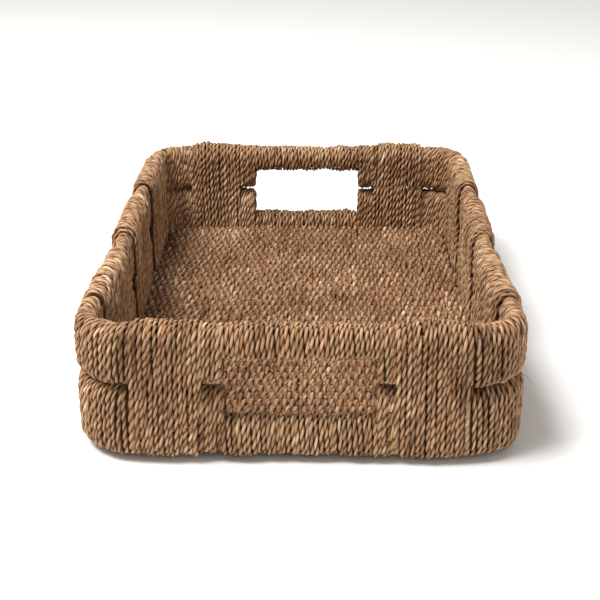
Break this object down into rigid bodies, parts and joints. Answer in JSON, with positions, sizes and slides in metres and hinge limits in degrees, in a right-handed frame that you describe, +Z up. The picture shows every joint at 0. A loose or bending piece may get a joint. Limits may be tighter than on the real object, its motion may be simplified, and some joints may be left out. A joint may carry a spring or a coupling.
{
  "type": "bread basket",
  "caption": "Oblong open tray basket of twisted rush cord wound over a wire frame, with rounded corners, a woven floor and a carrying hole in each end.",
  "frame": {"origin": "middle of the basket on the plane that it rests on", "axes": "+Z up, +Y along the basket from one carrying hole to the other, +X across it"},
  "size_m": [0.303, 0.465, 0.097],
  "materials": {
    "rush_cord": "matt twisted plant-fibre cord, tan to straw, with darker gaps between the turns",
    "woven_rush_mat": "matt woven plant-fibre cord, brown-tan",
    "rush_filling": "dry loose rush stalks, matt straw",
    "iron_wire": "dark satin paint on iron wire"
  },
  "bodies": {
    "root": {"band_back_left": "rush_cord", "band_back_right": "rush_cord", "band_front_left": "rush_cord", "band_front_right": "rush_cord", "band_side_left_back": "rush_cord", "band_side_left_front": "rush_cord", "band_side_left_middle": "rush_cord", "band_side_right_back": "rush_cord", "band_side_right_front": "rush_cord", "band_side_right_middle": "rush_cord", "base_wire": "iron_wire", "floor_mat": "woven_rush_mat", "floor_wire_1": "iron_wire", "floor_wire_2": "iron_wire", "floor_wire_3": "iron_wire", "floor_wire_4": "iron_wire", "handle_core_back": "rush_filling", "handle_core_front": "rush_filling", "handle_wrap_back": "rush_cord", "handle_wrap_front": "rush_cord", "lower_core_left": "rush_filling", "lower_core_right": "rush_filling", "lower_mid_wire_left": "iron_wire", "lower_mid_wire_right": "iron_wire", "lower_wrap_back_left": "rush_cord", "lower_wrap_back_right": "rush_cord", "lower_wrap_front_left": "rush_cord", "lower_wrap_front_right": "rush_cord", "lower_wrap_side_left": "rush_cord", "lower_wrap_side_right": "rush_cord", "rim_wire": "iron_wire", "sill_core_back": "rush_filling", "sill_core_front": "rush_filling", "sill_wrap_back": "rush_cord", "sill_wrap_front": "rush_cord", "strut_back_left": "iron_wire", "strut_back_right": "iron_wire", "strut_front_left": "iron_wire", "strut_front_right": "iron_wire", "strut_side_left_back": "iron_wire", "strut_side_left_front": "iron_wire", "strut_side_left_middle": "iron_wire", "strut_side_right_back": "iron_wire", "strut_side_right_front": "iron_wire", "strut_side_right_middle": "iron_wire", "upper_core_left": "rush_filling", "upper_core_right": "rush_filling", "upper_mid_wire_left": "iron_wire", "upper_mid_wire_right": "iron_wire", "upper_wrap_back_left": "rush_cord", "upper_wrap_back_right": "rush_cord", "upper_wrap_front_left": "rush_cord", "upper_wrap_front_right": "rush_cord", "upper_wrap_side_left": "rush_cord", "upper_wrap_side_right": "rush_cord"}
  },
  "joints": []
}
